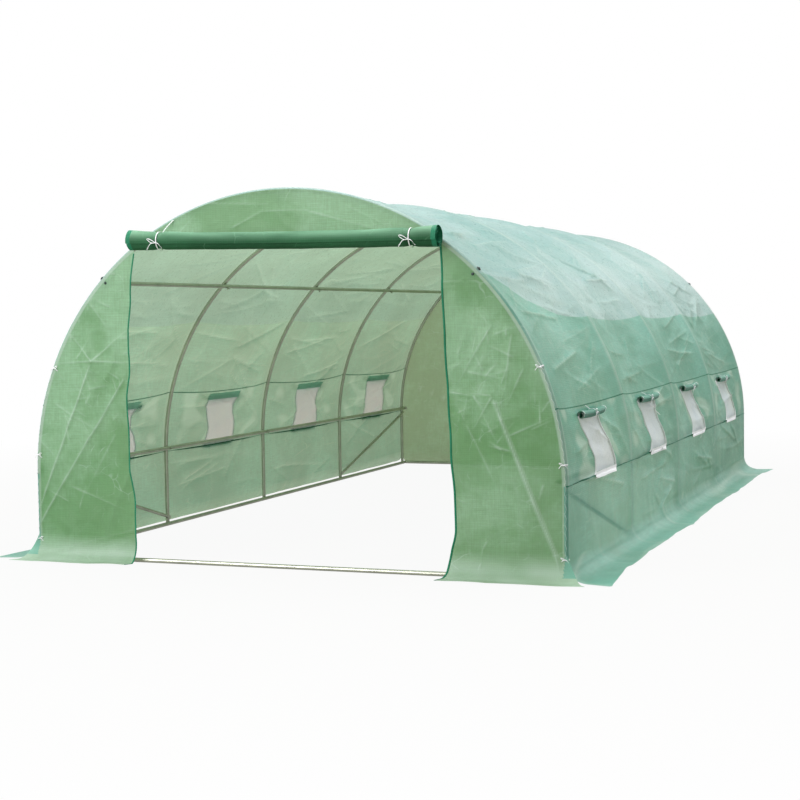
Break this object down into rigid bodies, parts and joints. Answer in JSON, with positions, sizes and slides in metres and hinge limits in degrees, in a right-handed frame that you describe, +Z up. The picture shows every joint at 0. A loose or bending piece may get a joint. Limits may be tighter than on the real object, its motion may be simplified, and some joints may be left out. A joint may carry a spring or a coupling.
{
  "type": "tunnel greenhouse",
  "caption": "Walk-in tunnel greenhouse: hooped steel tube frame under a translucent green sheet cover, with a rolled-up zip door and rolled-up flaps over mesh side windows.",
  "frame": {"origin": "on the ground, at the middle of the tunnel's width and length", "axes": "+Z up, +Y from the door end to the rear, +X to the right as seen from the door end"},
  "size_m": [3.5506, 6.2186, 2.0673],
  "materials": {
    "galvanised_tube": "dull galvanised",
    "cover_sheet": "translucent woven sheet with a soft sheen",
    "rolled_sheet": "several layers of the cover sheet",
    "screen_mesh": "fine white insect mesh",
    "zip_tape": "dark green tape",
    "tie_tape": "white tape"
  },
  "bodies": {
    "root": {"front_hoop": "galvanised_tube", "second_hoop": "galvanised_tube", "middle_hoop": "galvanised_tube", "fourth_hoop": "galvanised_tube", "rear_hoop": "galvanised_tube", "left_base_rail": "galvanised_tube", "right_base_rail": "galvanised_tube", "front_base_rail": "galvanised_tube", "rear_base_rail": "galvanised_tube", "left_side_rail": "galvanised_tube", "right_side_rail": "galvanised_tube", "left_purlin": "galvanised_tube", "right_purlin": "galvanised_tube", "ridge_purlin": "galvanised_tube", "front_left_brace": "galvanised_tube", "front_right_brace": "galvanised_tube", "rear_left_brace": "galvanised_tube", "rear_right_brace": "galvanised_tube", "left_skirt": "cover_sheet", "right_skirt": "cover_sheet", "left_lower_wall": "cover_sheet", "right_lower_wall": "cover_sheet", "left_window_strip": "cover_sheet", "right_window_strip": "cover_sheet", "left_eaves_strip": "cover_sheet", "right_eaves_strip": "cover_sheet", "left_roof_cover": "cover_sheet", "right_roof_cover": "cover_sheet", "left_window_screens": "screen_mesh", "right_window_screens": "screen_mesh", "left_window_rolls": "rolled_sheet", "right_window_rolls": "rolled_sheet", "window_ties": "tie_tape", "front_left_panel": "cover_sheet", "front_right_panel": "cover_sheet", "front_top_panel": "cover_sheet", "front_skirts": "cover_sheet", "left_door_zip": "zip_tape", "right_door_zip": "zip_tape", "door_roll": "rolled_sheet", "door_ties": "tie_tape", "rear_wall_cover": "cover_sheet", "rear_skirt": "cover_sheet"}
  },
  "joints": []
}
